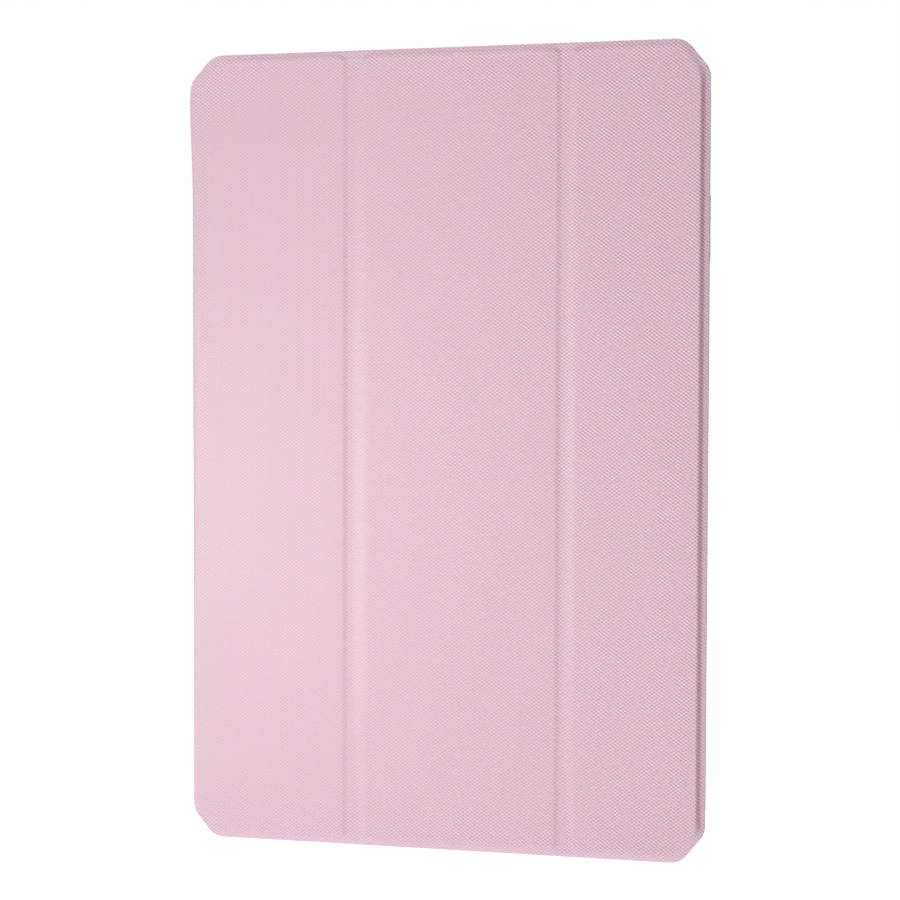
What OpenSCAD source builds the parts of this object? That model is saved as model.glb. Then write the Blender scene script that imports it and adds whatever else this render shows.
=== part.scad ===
// Tri-fold folio case for an 11-inch class tablet, closed and standing on its lower edge.
// X runs across the case, from the spine (-X) to the free edge of the cover (+X).
// Y runs through its thickness, from the front cover (-Y) to the back (+Y).
// Z runs up its long side, from the standing edge at z = 0.
// The origin is at the middle of the footprint of the case, on the surface that it stands on.

/* [Tablet that the case holds] */
// Width of the tablet, its short side
tablet_w = 167; // [150:1:185]
// Height of the tablet, its long side
tablet_h = 256; // [230:1:280]
// Thickness of the tablet
tablet_t = 7; // [6.5:0.1:9]
// Radius of the tablet's corners
tablet_r = 12; // [11:0.5:15]
// Room left all round the tablet in its tray
fit_gap = 0.3; // [0.1:0.05:0.4]

/* [Tray] */
// Thickness of the tray's four side walls
wall_t = 1.8; // [1.8:0.1:2.2]
// Thickness of the tray's back wall
floor_t = 1.2; // [1:0.1:2]
// Thickness of the lip that keeps the tablet in
lip_t = 0.9; // [0.8:0.1:1.4]
// How far the lip reaches over the tablet's edge
lip_reach = 1.2; // [0.8:0.1:1.5]

/* [Cover] */
// Thickness of the outer skin, a coated fabric
skin_t = 0.8; // [0.6:0.1:1]
// Thickness of the stiff boards inside the panels
board_t = 1.2; // [1:0.1:1.6]
// Thickness of the soft lining on the inner face
lining_t = 0.6; // [0.4:0.1:0.8]
// Thickness of the stiffener behind the tray
back_board_t = 1; // [0.8:0.1:1.5]
// Width of the sunken band of skin at fold 1
fold_1_w = 7.5; // [7:0.5:10]
// Width of the sunken band of skin at fold 2
fold_2_w = 6.5; // [6:0.5:10]
// How far the skin at the folds and along the upper and lower edges lies below the raised panels
shallow_depth = 0.5; // [0.4:0.1:0.8]
// Share of the raised panels' total width that panel 1 has
panel_1_share = 0.341; // [0.3:0.001:0.36]
// Share of the raised panels' total width that panel 2 has
panel_2_share = 0.409; // [0.38:0.001:0.44]
// Width of the flat rim along the free edge
free_rim = 3.4; // [3:0.2:5]
// Width of the flat rim along the upper and lower edges
end_rim = 2.7; // [2.5:0.1:4]
// Reach of the sloping corners along the upper and lower edges
corner_w = 8; // [7:0.5:8.5]
// Reach of the sloping corners along the sides
corner_h = 10; // [9:0.5:10.5]
// Rounding where a sloping corner meets an edge
corner_round = 7; // [4:0.5:8]
// How far the covers stand past the tray at its top and bottom
end_overhang = 1.9; // [1.6:0.1:2.5]
// How far the covers stand past the tray at the free edge
free_overhang = 0.9; // [0.8:0.1:2]
// How far the back stops short of the front cover at the free edge
back_short = 1.2; // [0:0.1:1.4]

/* [Spine] */
// Thickness of the spine's stiffener
spine_board_t = 0.5; // [0.4:0.1:0.6]
// Thickness of the spine's lining
spine_lining_t = 0.4; // [0.3:0.1:0.5]
// Gap that lets neighbouring moving pieces pass
move_gap = 0.3; // [0.2:0.05:0.4]
// Width beside each of the spine's two folds that the boards leave free, so that the skin can bend
fold_free = 4; // [3:0.5:6]

/* [Openings and buttons] */
// Width of the camera window
camera_w = 14; // [10:1:18]
// Height of the camera window
camera_h = 26; // [20:1:32]
// Distance from the case's free edge and top to the middle of the camera window
camera_inset = 22; // [20:1:26]
// Thickness of the tray's collar round the camera window
collar_t = 1; // [0.8:0.1:1.5]
// Length of the charging slot
charge_l = 13; // [11:0.5:15]
// Width of the charging slot
charge_w = 5.4; // [5:0.1:6]
// Length of the headphone slot
audio_l = 9; // [8:0.5:10]
// Width of the headphone slot
audio_w = 6; // [5.5:0.1:6.4]
// Length of one speaker slot
speaker_l = 18; // [12:1:22]
// Width of one speaker slot
speaker_w = 2.4; // [1.6:0.1:3]
// Length of the power button
power_l = 11.4; // [9:0.2:14]
// Length of the volume rocker
volume_l = 22; // [18:0.5:26]
// Width of both buttons
button_w = 3; // [2.5:0.1:3.4]

/* [Hidden] */
$fn = 48;

// Colours of the materials
skin_pink = [0.86, 0.72, 0.79];
lining_pink = [0.80, 0.70, 0.74];
tray_pink = [0.88, 0.76, 0.82];
button_pink = [0.83, 0.69, 0.76];
board_grey = [0.62, 0.60, 0.58];
steel_grey = [0.70, 0.71, 0.73];
magnet_grey = [0.80, 0.80, 0.82];

// A little more than nothing, for cuts that run past a face
cut = 1;
// Clearance round a piece that is laid in a slot of a board or a wall
slot_gap = 0.1;

// The tablet's pocket and the tray round it
pocket_w = tablet_w + 2 * fit_gap;
pocket_h = tablet_h + 2 * fit_gap;
pocket_d = tablet_t + 0.2;
pocket_r = tablet_r + fit_gap;
tray_w = pocket_w + 2 * wall_t;
tray_h = pocket_h + 2 * wall_t;
tray_r = pocket_r + wall_t;
tray_d = lip_t + pocket_d + floor_t;

// The whole case
spine_t = skin_t + spine_board_t + spine_lining_t;
cover_t = skin_t + board_t + lining_t;
back_t = back_board_t + skin_t;
case_w = spine_t + move_gap + tray_w + free_overhang;
case_h = tray_h + 2 * end_overhang;
case_t = cover_t + move_gap + tray_d + back_t;

// Planes through the thickness, from front to back
front_y = -case_t / 2;
shallow_y = front_y + shallow_depth;
bare_y = front_y + board_t;
lining_y = front_y + skin_t + board_t;
cover_back_y = front_y + cover_t;
tray_front_y = cover_back_y + move_gap;
pocket_front_y = tray_front_y + lip_t;
pocket_back_y = pocket_front_y + pocket_d;
tray_back_y = pocket_back_y + floor_t;
back_y = case_t / 2;
pocket_mid_y = (pocket_front_y + pocket_back_y) / 2;

// Planes across the width, from the spine to the free edge
spine_x = -case_w / 2;
free_x = case_w / 2;
tray_left_x = spine_x + spine_t + move_gap;
tray_right_x = tray_left_x + tray_w;
tray_mid_x = (tray_left_x + tray_right_x) / 2;
raised_w = case_w - fold_1_w - fold_2_w - free_rim;
panel_1_end = spine_x + panel_1_share * raised_w;
panel_2_start = panel_1_end + fold_1_w;
panel_2_end = panel_2_start + panel_2_share * raised_w;
panel_3_start = panel_2_end + fold_2_w;
panel_3_end = free_x - free_rim;
fold_1_x = (panel_1_end + panel_2_start) / 2;
fold_2_x = (panel_2_end + panel_3_start) / 2;

// Planes up the height
tray_low_z = end_overhang;
tray_top_z = case_h - end_overhang;
mid_z = case_h / 2;

// The spine runs between the sloping corners, and its stiffener is a little narrower than its skin
spine_end = corner_h + 2;
spine_board_inset = 1;
// The lining stops a little short of the cover's edge, where the skin is turned over
lining_inset = 0.5;
// Rounding of the raised panels' own corners
panel_round = 1.5;

// Buttons: how far they stand out, the thickness and reach of the flange that holds them in
button_out = 0.5;
flange_t = 0.4;
flange_reach = 1.2;
power_ledge = 0.8;
volume_ledge = 0.5;
volume_play = 0.5;
power_x = tray_right_x - 40;
volume_z = case_h - 60;

// Slots in the tray's upper and lower walls
audio_x = tray_left_x + 26;
speaker_x = 55;

// Magnets and the steel pieces that they hold to
keeper_t = 0.6;
keeper_w = 5;
keeper_l = 20;
keeper_places = [45, 132, 235];
magnet_t = board_t - 0.2;
magnet_w = 4;
magnet_l = 18;
magnet_edge = 3;
wake_side = 6;
wake_below_top = 70;
stand_plate_w = 8;
stand_plate_l = 120;
stand_plate_t = 0.5;

// Arc steps at each rounded corner of an outline
arc_steps = 6;

function unit(v) = v / norm(v);
function edge_normal_angle(a, b) = atan2(b[1] - a[1], b[0] - a[0]) - 90;

// Points of a convex outline with every corner rounded; corners run anticlockwise
function round_corner(a, b, c, r) =
    let (
        start_a = edge_normal_angle(a, b),
        turn = (edge_normal_angle(b, c) - start_a + 720) % 360,
        inward = unit(unit(a - b) + unit(c - b)),
        centre = b + inward * r / cos(turn / 2)
    )
    [for (k = [0 : arc_steps]) centre + r * [cos(start_a + turn * k / arc_steps), sin(start_a + turn * k / arc_steps)]];

function rounded_outline(corners, r) =
    let (n = len(corners))
    [for (k = [0 : n - 1]) each round_corner(corners[(k + n - 1) % n], corners[k], corners[(k + 1) % n], r)];

// Corners of the cover's outline moved in by an even distance all round, and made shorter at the free edge
function cover_corners(inset, short = 0) =
    let (
        squeeze = 1 + inset * (norm([1 / corner_w, 1 / corner_h]) - 1 / corner_w - 1 / corner_h),
        cw = corner_w * squeeze,
        ch = corner_h * squeeze,
        x0 = spine_x + inset,
        x1 = free_x - short - inset,
        z0 = inset,
        z1 = case_h - inset
    )
    [
        [x0 + cw, z0], [x1 - cw, z0], [x1, z0 + ch], [x1, z1 - ch],
        [x1 - cw, z1], [x0 + cw, z1], [x0, z1 - ch], [x0, z0 + ch]
    ];

// Draws a flat shape in the X-Z plane and gives it a thickness from one Y to another
module slab(from_y, to_y) {
    translate([0, to_y, 0])
        rotate([90, 0, 0])
            linear_extrude(height = to_y - from_y)
                children();
}

module cover_outline(inset = 0, short = 0) {
    polygon(rounded_outline(cover_corners(inset, short), corner_round - inset / 2));
}

// The stretch of the cover between two X values
module cover_stretch(from_x, to_x, inset = 0, short = 0) {
    intersection() {
        cover_outline(inset, short);
        translate([from_x, -cut])
            square([to_x - from_x, case_h + 2 * cut]);
    }
}

module rounded_rectangle(w, h, r) {
    square([w - 2 * r, h], center = true);
    square([w, h - 2 * r], center = true);
    for (x = [-1, 1], z = [-1, 1])
        translate([x * (w / 2 - r), z * (h / 2 - r)])
            circle(r);
}

// A slot with round ends, its long side along the first axis
module slot_shape(l, w) {
    square([l - w, w], center = true);
    for (x = [-1, 1])
        translate([x * (l - w) / 2, 0])
            circle(w / 2);
}

// A straight-sided cut that keeps one panel's raised part, with its own corners rounded
module panel_block(from_x, to_x, inset) {
    polygon(rounded_outline(
        [
            [from_x, end_rim + inset], [to_x, end_rim + inset],
            [to_x, case_h - end_rim - inset], [from_x, case_h - end_rim - inset]
        ],
        panel_round
    ));
}

// Outline of the raised part of a panel, or of the board inside it when moved in by the skin
module raised_outline(from_x, to_x, inset) {
    intersection() {
        panel_block(from_x + inset, to_x - inset, inset);
        cover_outline(end_rim + inset);
    }
}

// Panel 1 is raised right up to the spine, but its board stops short of the fold there
module raised_outline_1(inset) {
    from_x = inset == 0 ? spine_x : spine_x + fold_free;
    intersection() {
        panel_block(from_x, panel_1_end - inset, inset);
        cover_outline(inset);
    }
}

// The panel's raised outline by its number
module raised(number, inset = 0) {
    if (number == 1) raised_outline_1(inset);
    if (number == 2) raised_outline(panel_2_start, panel_2_end, inset);
    if (number == 3) raised_outline(panel_3_start, panel_3_end, inset);
}

// Each panel's stretch of the cover, up to the middle of the folds beside it
function stretch_start(number) =
    number == 1 ? spine_x : (number == 2 ? fold_1_x : fold_2_x) + move_gap / 2;
function stretch_end(number) =
    number == 3 ? free_x : (number == 1 ? fold_1_x : fold_2_x) - move_gap / 2;

// Outer skin of a panel: a thin rim round the free edge, thicker skin at the folds and along
// the upper and lower edges, and a raised pocket over the board
module panel_skin(number) {
    color(skin_pink)
        difference() {
            union() {
                slab(bare_y, lining_y)
                    cover_stretch(stretch_start(number), stretch_end(number));
                slab(shallow_y, lining_y)
                    cover_stretch(stretch_start(number), min(stretch_end(number), free_x - corner_w));
                slab(front_y, lining_y)
                    raised(number);
            }
            slab(front_y + skin_t, lining_y + cut)
                raised(number, skin_t);
        }
}

module panel_lining(number) {
    inset = lining_inset;
    color(lining_pink)
        slab(lining_y, cover_back_y)
            cover_stretch(stretch_start(number), stretch_end(number), inset);
}

// Stiff board of a panel; children are cut out of it
module panel_board(number) {
    color(board_grey)
        difference() {
            slab(front_y + skin_t, lining_y)
                raised(number, skin_t);
            children();
        }
}

// Closure magnets along the free edge of panel 3, or their slots, which run right through the board
module magnet_bars(gap) {
    for (z = keeper_places)
        translate([panel_3_end - magnet_edge - magnet_w / 2, front_y + skin_t + board_t / 2, z])
            cube([magnet_w + 2 * gap, magnet_t + 4 * gap, magnet_l + 2 * gap], center = true);
}

module wake_bar(gap) {
    translate([panel_3_end - magnet_edge - wake_side / 2, front_y + skin_t + board_t / 2, case_h - wake_below_top])
        cube([wake_side + 2 * gap, magnet_t + 4 * gap, wake_side + 2 * gap], center = true);
}

module stand_bar(gap) {
    x = (spine_x + panel_1_end) / 2;
    y = lining_y - stand_plate_t / 2;
    translate([x, y, mid_z])
        cube([stand_plate_w + 2 * gap, stand_plate_t + 2 * gap, stand_plate_l + 2 * gap], center = true);
}

// Steel keepers let into the inner face of the tray's wall at the free edge
module keeper_bars(gap) {
    for (z = keeper_places)
        translate([tray_right_x - wall_t + keeper_t / 2, pocket_mid_y, z])
            cube([keeper_t + 2 * gap, keeper_w + 2 * gap, keeper_l + 2 * gap], center = true);
}

// A slot through the tray's upper or lower wall
module end_wall_slot(x, z, l, w) {
    translate([x, pocket_mid_y, z])
        linear_extrude(height = wall_t + 2 * cut, center = true)
            slot_shape(l, w);
}

// Camera window, grown by a margin all round, between two Y values
module camera_window(from_y, to_y, margin = 0) {
    slab(from_y, to_y)
        translate([free_x - camera_inset, case_h - camera_inset])
            rotate(90)
                slot_shape(camera_h + 2 * margin, camera_w + 2 * margin);
}

// Hole in the back's layers that the tray's camera collar comes through
module collar_hole() {
    camera_window(tray_back_y - cut, back_y + cut, collar_t + slot_gap);
}

// Hole for the power button in the upper wall: its slot and the recess for its flange
module power_hole() {
    recess_d = wall_t - power_ledge;
    translate([power_x, pocket_mid_y, tray_top_z - wall_t - cut])
        linear_extrude(height = wall_t + 2 * cut)
            slot_shape(power_l + 2 * move_gap, button_w + 2 * move_gap);
    translate([power_x, pocket_mid_y, tray_top_z - wall_t - cut])
        linear_extrude(height = recess_d + cut)
            slot_shape(power_l + 2 * flange_reach + 2 * move_gap, button_w + 2 * flange_reach + 2 * move_gap);
}

// The same for the volume rocker in the wall at the free edge
module volume_hole() {
    recess_d = wall_t - volume_ledge;
    translate([tray_right_x - wall_t - cut, pocket_mid_y, volume_z])
        rotate([0, 90, 0])
            linear_extrude(height = wall_t + 2 * cut)
                slot_shape(volume_l + 2 * move_gap, button_w + 2 * move_gap);
    translate([tray_right_x - wall_t - cut, pocket_mid_y, volume_z])
        rotate([0, 90, 0])
            linear_extrude(height = recess_d + cut)
                slot_shape(volume_l + 2 * flange_reach + 2 * move_gap, button_w + 2 * flange_reach + 2 * move_gap);
}

// Soft tray that the tablet snaps into
module tray_shell() {
    low_wall_z = tray_low_z + wall_t / 2;
    top_wall_z = tray_top_z - wall_t / 2;
    color(tray_pink)
        difference() {
            union() {
                slab(tray_front_y, tray_back_y)
                    translate([tray_mid_x, mid_z])
                        rounded_rectangle(tray_w, tray_h, tray_r);
                camera_window(pocket_back_y, back_y, collar_t);
            }
            slab(pocket_front_y, pocket_back_y)
                translate([tray_mid_x, mid_z])
                    rounded_rectangle(pocket_w, pocket_h, pocket_r);
            slab(tray_front_y - cut, pocket_front_y + cut)
                translate([tray_mid_x, mid_z])
                    rounded_rectangle(pocket_w - 2 * lip_reach, pocket_h - 2 * lip_reach, pocket_r - lip_reach);
            camera_window(pocket_back_y - cut, back_y + cut);
            end_wall_slot(tray_mid_x, low_wall_z, charge_l, charge_w);
            end_wall_slot(audio_x, top_wall_z, audio_l, audio_w);
            for (side = [-1, 1])
                end_wall_slot(tray_mid_x + side * speaker_x, low_wall_z, speaker_l, speaker_w);
            power_hole();
            volume_hole();
            keeper_bars(slot_gap);
        }
}

// Stiffener between the tray and the back skin, which stops short of the spine's fold
module back_board() {
    color(board_grey)
        difference() {
            slab(tray_back_y, tray_back_y + back_board_t)
                cover_stretch(spine_x + fold_free, free_x, skin_t, back_short);
            collar_hole();
        }
}

// Back skin, turned over the edges of its stiffener
module back_skin() {
    color(skin_pink)
        difference() {
            slab(tray_back_y, back_y)
                cover_outline(0, back_short);
            slab(tray_back_y - cut, tray_back_y + back_board_t)
                cover_stretch(spine_x + fold_free, free_x, skin_t, back_short);
            collar_hole();
        }
}

module keeper_plates() {
    color(steel_grey)
        keeper_bars(0);
}

// Cap and flange of a button, its outer face up
module button(l, ledge, play) {
    cap_h = button_out + ledge + play;
    translate([0, 0, -ledge - play])
        linear_extrude(height = cap_h)
            slot_shape(l, button_w);
    translate([0, 0, -ledge - play - flange_t])
        linear_extrude(height = flange_t)
            slot_shape(l + 2 * flange_reach, button_w + 2 * flange_reach);
}

module power_button() {
    color(button_pink)
        translate([power_x, pocket_mid_y, tray_top_z])
            button(power_l, power_ledge, slot_gap);
}

module volume_rocker() {
    color(button_pink)
        translate([tray_right_x, pocket_mid_y, volume_z])
            rotate([0, 90, 0])
                button(volume_l, volume_ledge, volume_play);
}

// One layer of the spine strip, between two X depths from the outer face, moved in along its sides and ends
module spine_layer(from_d, to_d, side_inset, end_inset) {
    from_y = tray_front_y + side_inset;
    to_y = tray_back_y - move_gap - side_inset;
    translate([spine_x + from_d, from_y, spine_end + end_inset])
        cube([to_d - from_d, to_y - from_y, case_h - 2 * (spine_end + end_inset)]);
}

module spine_skin() {
    color(skin_pink)
        spine_layer(0, skin_t, 0, 0);
}

module spine_board() {
    color(board_grey)
        spine_layer(skin_t, skin_t + spine_board_t, spine_board_inset, lining_inset);
}

module spine_lining() {
    color(lining_pink)
        spine_layer(skin_t + spine_board_t, spine_t, 0, lining_inset);
}

module panel_1_skin() { panel_skin(1); }
module panel_2_skin() { panel_skin(2); }
module panel_3_skin() { panel_skin(3); }

module panel_1_lining() { panel_lining(1); }
module panel_2_lining() { panel_lining(2); }
module panel_3_lining() { panel_lining(3); }

module panel_1_board() {
    panel_board(1)
        stand_bar(slot_gap);
}

module panel_2_board() {
    panel_board(2);
}

module panel_3_board() {
    panel_board(3) {
        magnet_bars(slot_gap);
        wake_bar(slot_gap);
    }
}

module stand_plate() {
    color(steel_grey)
        stand_bar(0);
}

module closure_magnets() {
    color(magnet_grey)
        magnet_bars(0);
}

module wake_magnet() {
    color(magnet_grey)
        wake_bar(0);
}

tray_shell();
back_board();
back_skin();
keeper_plates();
power_button();
volume_rocker();
spine_skin();
spine_board();
spine_lining();
panel_1_skin();
panel_1_board();
panel_1_lining();
stand_plate();
panel_2_skin();
panel_2_board();
panel_2_lining();
panel_3_skin();
panel_3_board();
panel_3_lining();
closure_magnets();
wake_magnet();
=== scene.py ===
"""Looks of a tri-fold tablet case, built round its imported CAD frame.

X runs across the case from the spine to the free edge, Y from the front cover to the back,
and Z up its long side. Everything is in metres, in the frame of the CAD model.
"""

import math

import bmesh
import bpy
import numpy as np
from mathutils import Matrix, Vector


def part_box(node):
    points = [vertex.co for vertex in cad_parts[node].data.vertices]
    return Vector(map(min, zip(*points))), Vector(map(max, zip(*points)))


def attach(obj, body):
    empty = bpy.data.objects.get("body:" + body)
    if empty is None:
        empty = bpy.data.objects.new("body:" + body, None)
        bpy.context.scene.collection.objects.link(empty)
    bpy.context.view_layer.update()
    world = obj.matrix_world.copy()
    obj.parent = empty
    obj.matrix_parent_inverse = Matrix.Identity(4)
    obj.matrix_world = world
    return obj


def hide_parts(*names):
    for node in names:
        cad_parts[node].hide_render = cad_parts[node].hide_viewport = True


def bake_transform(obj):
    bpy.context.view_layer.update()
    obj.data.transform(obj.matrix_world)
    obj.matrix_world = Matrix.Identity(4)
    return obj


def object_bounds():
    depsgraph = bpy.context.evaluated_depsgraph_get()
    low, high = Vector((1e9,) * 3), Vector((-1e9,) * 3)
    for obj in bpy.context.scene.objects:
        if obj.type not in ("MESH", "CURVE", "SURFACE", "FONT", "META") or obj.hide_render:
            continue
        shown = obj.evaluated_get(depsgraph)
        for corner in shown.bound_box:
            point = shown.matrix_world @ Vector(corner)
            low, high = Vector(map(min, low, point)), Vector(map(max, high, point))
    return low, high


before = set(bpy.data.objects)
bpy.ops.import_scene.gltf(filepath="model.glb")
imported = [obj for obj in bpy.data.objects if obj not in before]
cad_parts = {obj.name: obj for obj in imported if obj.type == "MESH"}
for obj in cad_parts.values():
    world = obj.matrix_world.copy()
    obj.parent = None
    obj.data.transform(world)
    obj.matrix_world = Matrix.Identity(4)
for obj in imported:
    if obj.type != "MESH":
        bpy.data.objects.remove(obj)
cad_low, cad_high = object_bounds()

MM = 0.001

# ---------------------------------------------------------------------------
# The CAD model's planes
# ---------------------------------------------------------------------------

SPINE_X, FRONT_Y, LOW_Z = cad_low
FREE_X, BACK_Y, TOP_Z = cad_high
MIDDLE_Z = (LOW_Z + TOP_Z) / 2


def low(node):
    """Lowest corner of a CAD node."""
    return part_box(node)[0]


def high(node):
    """Highest corner of a CAD node."""
    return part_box(node)[1]


SKIN_T = low("panel_1_board").y - low("panel_1_skin").y
LINING_Y = low("panel_1_lining").y
COVER_BACK_Y = high("panel_1_lining").y
PANEL_1_END = high("panel_1_board").x + SKIN_T
PANEL_2_START = low("panel_2_board").x - SKIN_T
PANEL_2_END = high("panel_2_board").x + SKIN_T
PANEL_3_START = low("panel_3_board").x - SKIN_T
PANEL_3_END = high("panel_3_board").x + SKIN_T
END_RIM = low("panel_2_board").z - SKIN_T - LOW_Z
TRAY_LOW = low("tray_shell")
TRAY_HIGH = high("tray_shell")
TRAY_BACK_Y = low("back_skin").y
SPINE_LINING_OUT = low("spine_lining").x - SPINE_X
SPINE_LINING_IN = high("spine_lining").x - SPINE_X
SPINE_LINING_BACK_Y = high("spine_lining").y

# ---------------------------------------------------------------------------
# Sizes that no box of the CAD model gives
# ---------------------------------------------------------------------------

# Sloping corners of the cover's outline
CORNER_W = 8 * MM
CORNER_H = 10 * MM
CORNER_ROUND = 7 * MM
PANEL_ROUND = 1.5 * MM

# The raised parts' sloping corners, measured from the cover's own square corner
RAISED_CORNER_W = 11.8 * MM
RAISED_CORNER_H = 15.4 * MM
RAISED_ROUND = 7 * MM
ARC_STEPS = 8

# The skin's bend at the two folds of the spine
BEND_R = 2.2 * MM
HALF_FLAT = BACK_Y - BEND_R
BEND_LENGTH = BEND_R * math.pi / 2
BEND_END = HALF_FLAT + BEND_LENGTH

# How far the skin lies below the raised panels, and how much more it falls towards each edge
FREE_RIM_DEPTH = LINING_Y - FRONT_Y - SKIN_T
END_RIM_DEPTH = 0.04 * MM
LOW_RIM_TILT = 0.30
TOP_RIM_TILT = 0.14
FREE_RIM_TILT = 0.12
FOLD_1_DEPTH = 0.35 * MM
FOLD_2_DEPTH = 0.44 * MM

# Width of the rims, and where the slopes down from the raised panels start and how wide they are
LOW_RIM = 2.7 * MM
TOP_RIM = 2.0 * MM
SHOULDER = 0.5 * MM
FREE_SLOPE_START = 0.1 * MM
PANEL_END_SLOPE = 1.7 * MM
PANEL_START_SLOPE = 4.2 * MM
PANEL_START_SLOPE_AT_ENDS = 2.0 * MM
END_SLOPE = 0.6 * MM
FREE_SLOPE = 2.1 * MM
FREE_SLOPE_AT_CORNERS = 3.4 * MM

# Share of the free rim's depth that is left at the sloping corners
CORNER_DEPTH_SHARE = 0.45

# The sideways bulge of the spine's skin below the upper corner
FLARE = 0.95 * MM
FLARE_BELOW_TOP = 17 * MM
FLARE_REACH = 19 * MM
FLARE_ACROSS = 22 * MM

# The low bead that a board's edge raises in the skin over it
BEAD_HEIGHT = 0.035 * MM
BEAD_INSET = 0.9 * MM
BEAD_WIDTH = 0.55 * MM

# The skin's edge: how far its rolled edge reaches, and the strip that is turned in
ROLL = 0.3 * MM
ROLL_STEPS = 6
TURN_IN = 3.0 * MM
TURN_IN_RAMP = 2.5 * MM

# Steepness of the sunken skin at which the painted crease shade starts, and at which it is darkest
PAINTED_SHADE_STARTS = 0.10
PAINTED_SHADE_FULL = 1.0

# Slight unevenness of cloth glued over a board, and the flat strip along the edges
WAVE_HEIGHT = 0.05 * MM
CALM_FROM = 2 * MM
CALM_TO = 20 * MM

# How much the back skin falls at its edges
BACK_EDGE_DROP = 0.25 * MM

# The lining, and how far the cover's inner side is drawn in at each fold
LINING_T = 0.3 * MM
LINING_INSET = 1.8 * MM
FOLD_DIP = 0.55 * MM

# Where the turned-in strip starts past the spine's bend, and how far it laps over the board's face
STRIP_FROM = 0.3 * MM
STRIP_TO = 1.8 * MM
STRIP_OVER_BOARD = 0.03 * MM

# The back skin, and how far it stops short of the front cover at the free edge
BACK_SKIN_T = BACK_Y - TRAY_BACK_Y
BACK_SHORT = FREE_X - high("back_skin").x


# ---------------------------------------------------------------------------
# Small functions
# ---------------------------------------------------------------------------

def smoothstep(value, start, end):
    """0 before start and 1 after end, with a smooth rise between."""
    t = np.clip((value - start) / (end - start), 0, 1)
    return t * t * (3 - 2 * t)


def soft_max(*values):
    """The largest of several depths, rounded where two are alike."""
    return sum(np.maximum(v, 0) ** 4 for v in values) ** 0.25


def unit(v):
    return v / np.linalg.norm(v)


def round_corner(a, b, c, radius, steps=ARC_STEPS):
    """Points of the arc that rounds corner b of a convex outline; corners run anticlockwise."""
    a, b, c = (np.array(p, float) for p in (a, b, c))
    start = math.atan2(b[1] - a[1], b[0] - a[0]) - math.pi / 2
    end = math.atan2(c[1] - b[1], c[0] - b[0]) - math.pi / 2
    turn = (end - start) % (2 * math.pi)
    inward = unit(unit(a - b) + unit(c - b))
    centre = b + inward * radius / math.cos(turn / 2)
    angles = [start + turn * k / steps for k in range(steps + 1)]
    return [centre + radius * np.array([math.cos(t), math.sin(t)]) for t in angles]


def rounded_outline(corners, radius, steps=ARC_STEPS):
    count = len(corners)
    points = []
    for k in range(count):
        points += round_corner(corners[k - 1], corners[k], corners[(k + 1) % count], radius, steps)
    return np.array(points)


def cover_corners(inset, short=0.0):
    """Corners of the cover's outline moved in by an even distance, and shorter at the free edge."""
    slant = math.hypot(1 / CORNER_W, 1 / CORNER_H)
    squeeze = 1 + inset * (slant - 1 / CORNER_W - 1 / CORNER_H)
    cw = CORNER_W * squeeze
    ch = CORNER_H * squeeze
    x0, x1 = SPINE_X + inset, FREE_X - short - inset
    z0, z1 = LOW_Z + inset, TOP_Z - inset
    return [
        (x0 + cw, z0), (x1 - cw, z0), (x1, z0 + ch), (x1, z1 - ch),
        (x1 - cw, z1), (x0 + cw, z1), (x0, z1 - ch), (x0, z0 + ch),
    ]


def distance_outside(x, z, outline):
    """Distance of points from a convex outline that runs anticlockwise; less than 0 inside it."""
    shape = np.broadcast(x, z).shape
    px = np.broadcast_to(x, shape)
    pz = np.broadcast_to(z, shape)
    inside = np.full(shape, -1e9)
    outside = np.full(shape, 1e9)
    for k in range(len(outline)):
        a, b = outline[k - 1], outline[k]
        edge = b - a
        length = np.linalg.norm(edge)
        if length < 1e-9:
            continue
        dx, dz = px - a[0], pz - a[1]
        inside = np.maximum(inside, (dx * edge[1] - dz * edge[0]) / length)
        t = np.clip((dx * edge[0] + dz * edge[1]) / length ** 2, 0, 1)
        outside = np.minimum(outside, np.hypot(dx - t * edge[0], dz - t * edge[1]))
    return np.where(inside > 0, outside, inside)


def ripple(u, z, lengths, seed):
    """Gentle waves of the given lengths, between about -1 and 1, the same on every run."""
    total = 0
    for k, length in enumerate(lengths):
        angle = seed * 2.399 + k * 1.9
        along = u * math.cos(angle) + z * math.sin(angle)
        total = total + np.sin(2 * math.pi * along / length + seed + 2.1 * k)
    return total / len(lengths)


# ---------------------------------------------------------------------------
# The cover unrolled: u runs round the case from the middle of the spine,
# up to the free edge of the front cover and down to the free edge of the back
# ---------------------------------------------------------------------------

def wrap(u):
    """X, Y and outward normal of the case's outer face at unrolled distance u."""
    side = np.where(u < 0, 1.0, -1.0)
    s = np.abs(u)
    turn = np.clip((s - HALF_FLAT) / BEND_R, 0, math.pi / 2)
    flat = np.maximum(s - HALF_FLAT - BEND_LENGTH, 0)
    x = SPINE_X + BEND_R * (1 - np.cos(turn)) + flat
    y = side * (np.minimum(s, HALF_FLAT) + BEND_R * np.sin(turn))
    return x, y, -np.cos(turn), side * np.sin(turn)


def unroll(x):
    """Unrolled distance of a place on the front cover, past the bend at the spine."""
    return x - SPINE_X - BEND_R + HALF_FLAT + BEND_LENGTH


def unroll_any(co):
    """Unrolled distance of any points on or near the skin."""
    x, y = co[:, 0], co[:, 1]
    side = np.where(y > 0, -1.0, 1.0)
    past = x - SPINE_X - BEND_R
    turn = np.arctan2(np.maximum(np.abs(y) - HALF_FLAT, 0), np.maximum(-past, 1e-9))
    on_bend = np.minimum(np.abs(y), HALF_FLAT) + BEND_R * np.minimum(turn, math.pi / 2)
    return side * np.where(past > 0, past + HALF_FLAT + BEND_LENGTH, on_bend)


FREE_U = unroll(FREE_X)


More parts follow.
